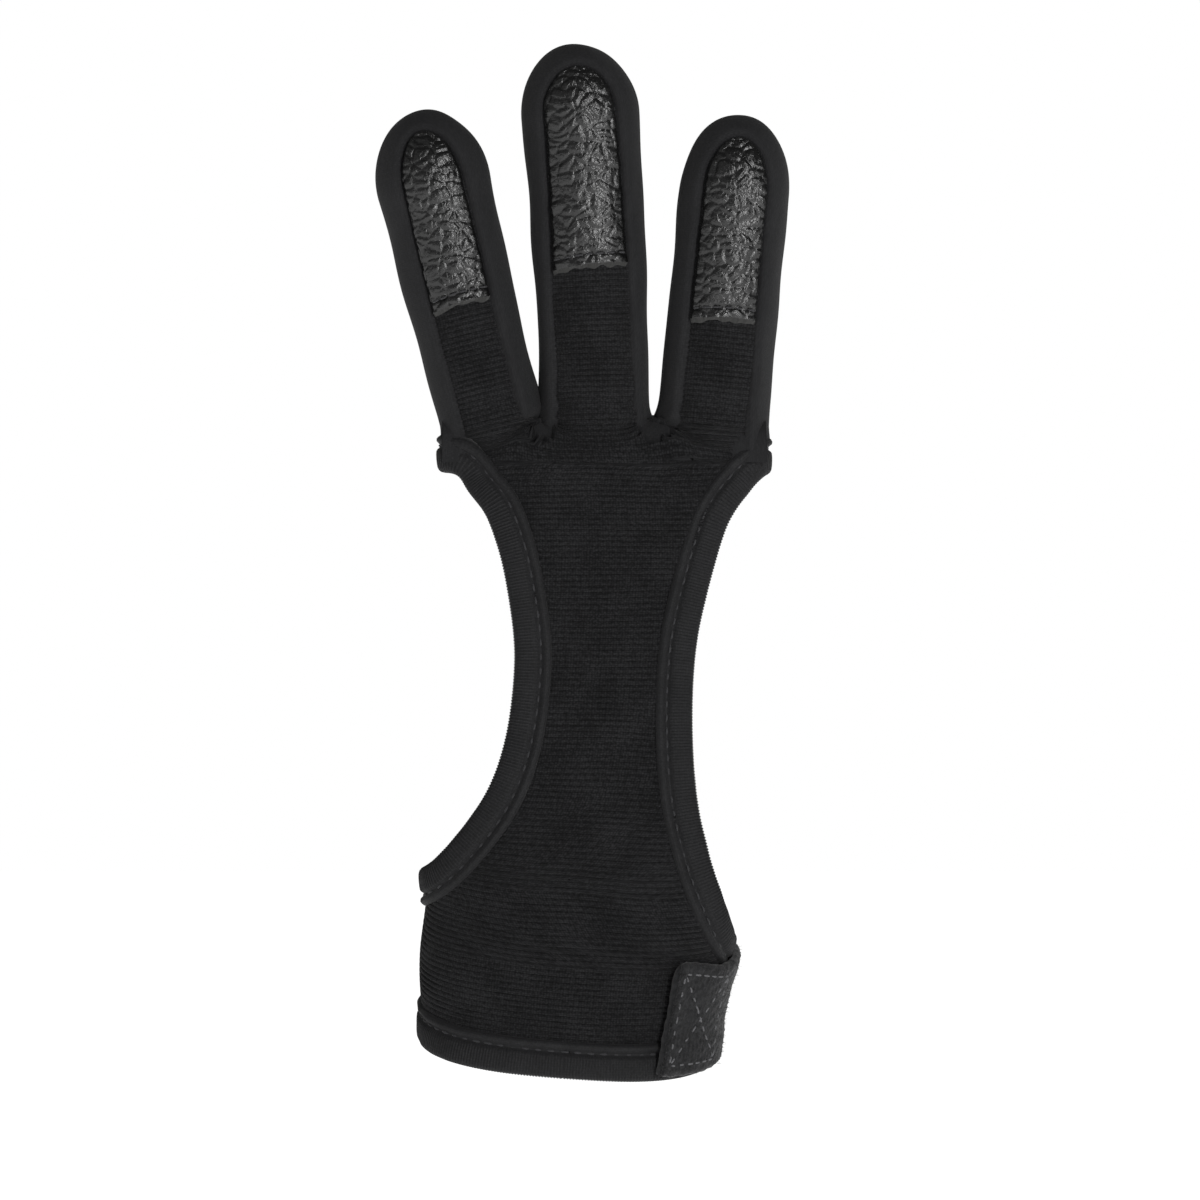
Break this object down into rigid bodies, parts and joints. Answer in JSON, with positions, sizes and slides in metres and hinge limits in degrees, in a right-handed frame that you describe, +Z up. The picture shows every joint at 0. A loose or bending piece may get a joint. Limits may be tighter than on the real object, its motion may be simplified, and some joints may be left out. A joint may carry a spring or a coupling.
{
  "type": "archery finger glove",
  "caption": "Worn-form archery glove for the right hand with closed finger stalls, leather tip pads, open sides and a wrist strap.",
  "frame": {"origin": "middle of the wrist opening, at the free edge of the wrist hem", "axes": "+Z up the palm towards the fingertips, +X towards the thumb, -Y out of the palm side"},
  "size_m": [0.0823, 0.0399, 0.2059],
  "materials": {
    "ribbed_cloth": "black ribbed elastic knit, matt",
    "smooth_cloth": "black padded knit, smooth and matt",
    "binding_tape": "black folded grosgrain elastic, slightly shiny",
    "leather": "black pebbled grain, glossy",
    "strap_felt": "dark grey hook-and-loop felt, fuzzy"
  },
  "bodies": {
    "root": {"palm_panel": "ribbed_cloth", "back_panel": "smooth_cloth", "ring_stall": "smooth_cloth", "ring_leather_pad": "leather", "middle_stall": "smooth_cloth", "middle_leather_pad": "leather", "index_stall": "smooth_cloth", "index_leather_pad": "leather", "little_finger_side_binding": "binding_tape", "thumb_side_binding": "binding_tape", "wrist_hem_binding": "binding_tape", "wrist_strap": "strap_felt"}
  },
  "joints": []
}
